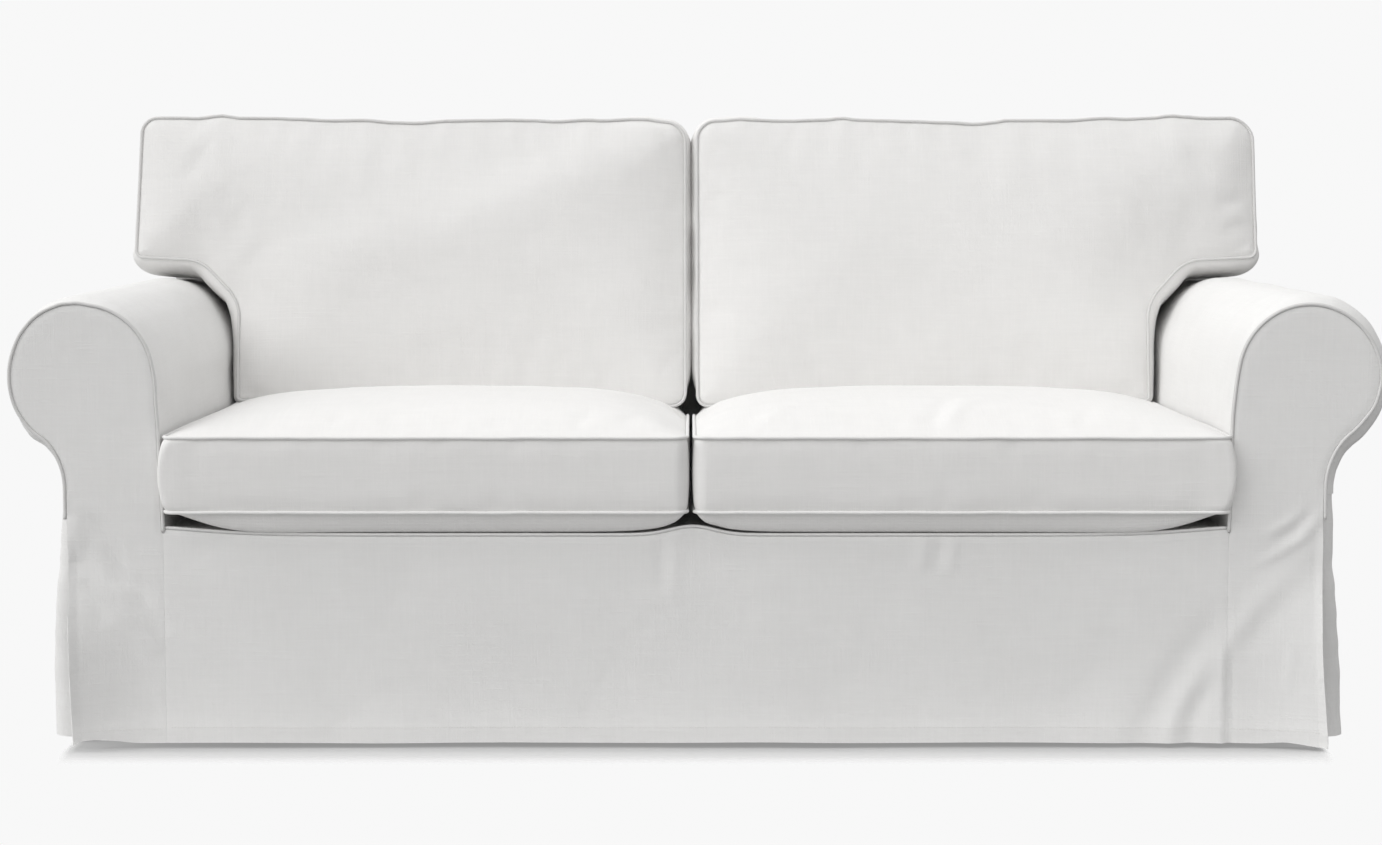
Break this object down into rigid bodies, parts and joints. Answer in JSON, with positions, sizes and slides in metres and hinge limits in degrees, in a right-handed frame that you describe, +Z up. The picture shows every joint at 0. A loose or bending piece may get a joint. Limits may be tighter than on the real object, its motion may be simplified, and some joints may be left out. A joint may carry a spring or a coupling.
{
  "type": "fitted sofa slipcover with cushions",
  "caption": "Loose slipcover for a two-seat roll-arm sofa, with a floor-length skirt, corner slits, piped box seat cushions and winged back cushions",
  "frame": {"origin": "on the floor, under the middle of the whole set's box", "axes": "+Z up, -Y to the front where one sits down, -X to the left as seen from the front"},
  "size_m": [1.7991, 0.9064, 0.8408],
  "materials": {
    "cover_cloth": "matt plain-woven off-white cotton and linen",
    "cushion_cloth": "matt plain-woven off-white cotton and linen, filled",
    "piping": "matt self-covered piping cord"
  },
  "bodies": {
    "root": {"arm_facing_left": "cover_cloth", "arm_cover_left": "cover_cloth", "arm_side_left": "cover_cloth", "facing_piping_left": "piping", "arm_facing_right": "cover_cloth", "arm_cover_right": "cover_cloth", "arm_side_right": "cover_cloth", "facing_piping_right": "piping", "front_skirt": "cover_cloth", "seat_deck": "cover_cloth", "inside_back": "cover_cloth", "back_band": "cover_cloth", "outside_back": "cover_cloth", "front_edge_piping": "piping", "seat_cushion_left": "cushion_cloth", "seat_cushion_left_piping_front": "piping", "seat_cushion_left_piping_rear": "piping", "back_cushion_left": "cushion_cloth", "back_cushion_left_piping_front": "piping", "back_cushion_left_piping_rear": "piping", "seat_cushion_right": "cushion_cloth", "seat_cushion_right_piping_front": "piping", "seat_cushion_right_piping_rear": "piping", "back_cushion_right": "cushion_cloth", "back_cushion_right_piping_front": "piping", "back_cushion_right_piping_rear": "piping"}
  },
  "joints": []
}
